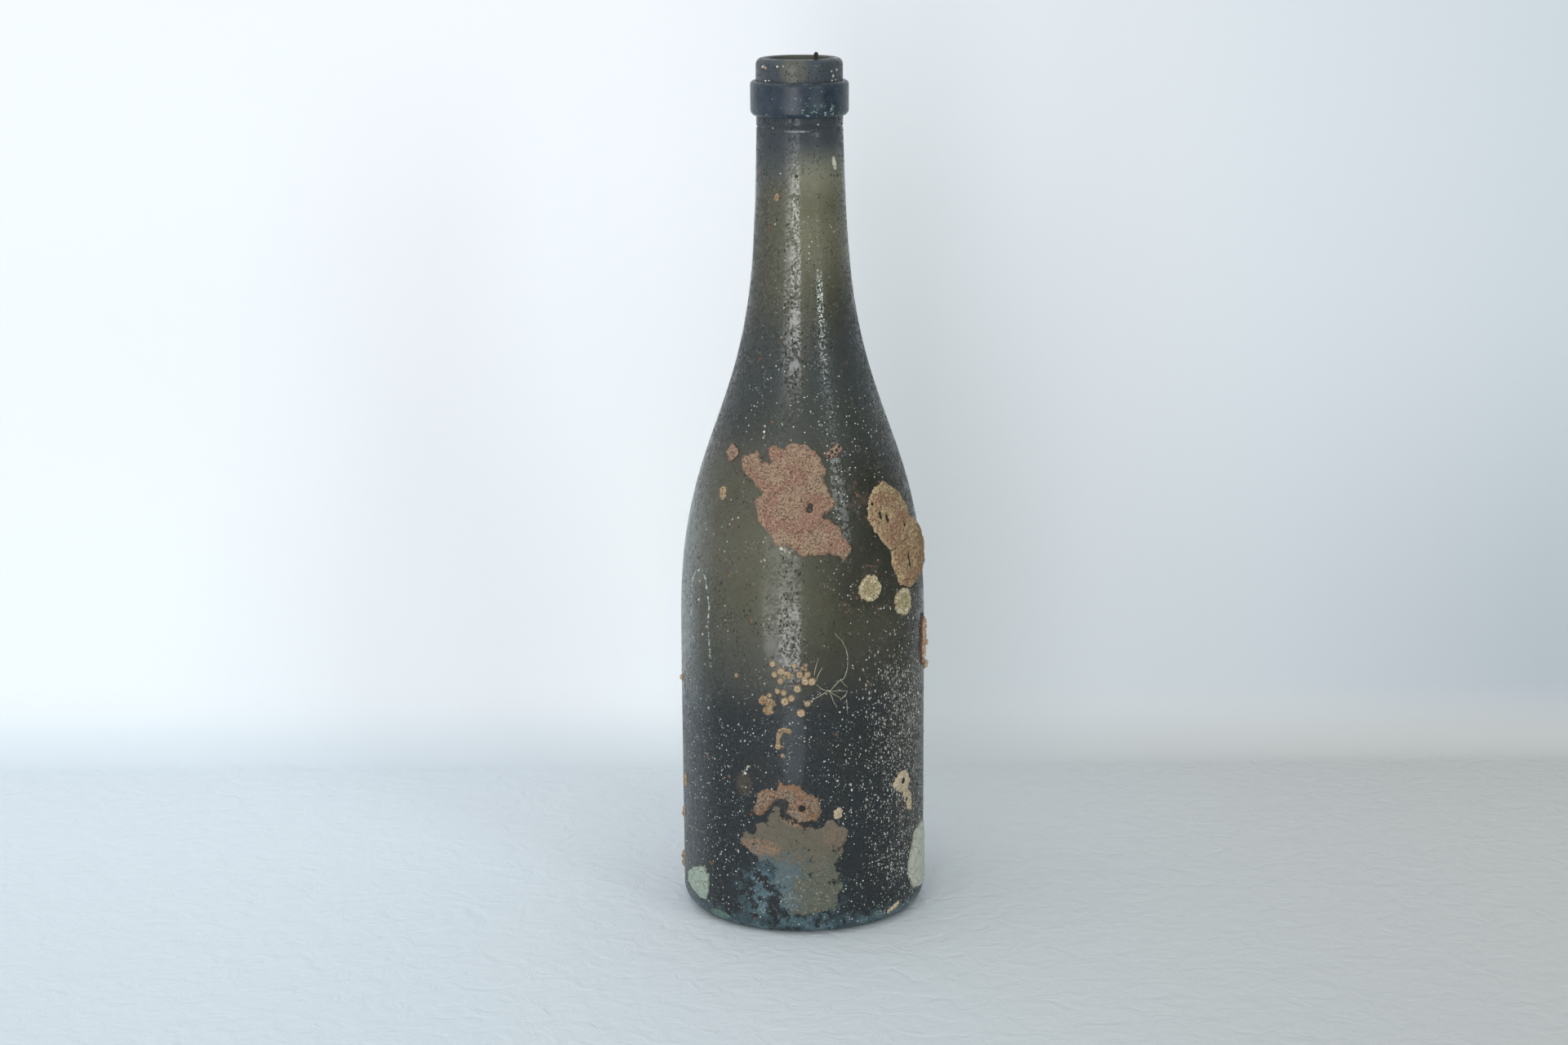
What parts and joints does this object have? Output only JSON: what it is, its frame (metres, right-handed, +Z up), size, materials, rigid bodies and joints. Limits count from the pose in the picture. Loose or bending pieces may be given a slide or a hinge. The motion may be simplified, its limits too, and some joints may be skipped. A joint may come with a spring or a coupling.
{
  "type": "wine bottle",
  "caption": "Old dark olive glass wine bottle with a sloping shoulder, pushed-up base, applied string ring and sea growth of crusts and barnacles on the front.",
  "frame": {"origin": "centre of the base, on the table that the bottle stands on", "axes": "+Z up along the bottle's axis to the lip; -Y is the front, the side with the large crust; +X is to the right seen from the front"},
  "size_m": [0.0751, 0.0741, 0.2542],
  "materials": {
    "bottle_glass": "dark olive blown glass, weathered by the sea, satin with fine pits",
    "ring_glass": "dark glass trail, tooled, weathered to a slate blue bloom",
    "pink_crust": "matt pinkish tan lime crust with pores",
    "brown_crust": "matt brown lime crust, granular",
    "olive_skin": "thin matt olive brown deposit",
    "barnacle_shell": "chalky tan shell",
    "barnacle_base": "chalky pale cream shell plate",
    "yellow_crust": "matt yellow brown crust",
    "lime_flake": "thin pale grey green lime flake"
  },
  "bodies": {
    "root": {"glass_body": "bottle_glass", "string_ring": "ring_glass", "upper_crust": "pink_crust", "shoulder_crust": "brown_crust", "side_crust": "brown_crust", "olive_skin": "olive_skin", "pink_knob": "pink_crust", "porous_knob": "pink_crust", "orange_crumb": "brown_crust", "low_knob": "brown_crust", "barnacle_cluster_left": "barnacle_shell", "barnacle_cluster_right": "barnacle_shell", "barnacle_cluster_middle": "barnacle_shell", "folded_lump": "yellow_crust", "lime_flake_left": "lime_flake", "lime_flake_right": "lime_flake", "neck_flake": "lime_flake", "lower_arch": "pink_crust", "hook_crust": "barnacle_shell", "yellow_crust": "yellow_crust", "edge_strip": "pink_crust", "worm_tube": "lime_flake", "neck_crumb": "brown_crust", "left_edge_knob": "brown_crust", "left_edge_scale": "brown_crust", "left_foot_tuft": "brown_crust", "lip_crumb": "barnacle_shell", "barnacle_base_1": "barnacle_base", "barnacle_base_2": "barnacle_base", "barnacle_1": "barnacle_shell", "barnacle_2": "barnacle_shell", "barnacle_3": "barnacle_shell", "barnacle_4": "barnacle_shell", "barnacle_5": "barnacle_shell", "barnacle_6": "barnacle_shell", "barnacle_7": "barnacle_shell", "barnacle_8": "barnacle_shell", "barnacle_9": "barnacle_shell", "barnacle_10": "barnacle_shell", "barnacle_11": "barnacle_shell", "barnacle_12": "barnacle_shell", "barnacle_13": "barnacle_shell", "barnacle_14": "barnacle_shell"}
  },
  "joints": []
}
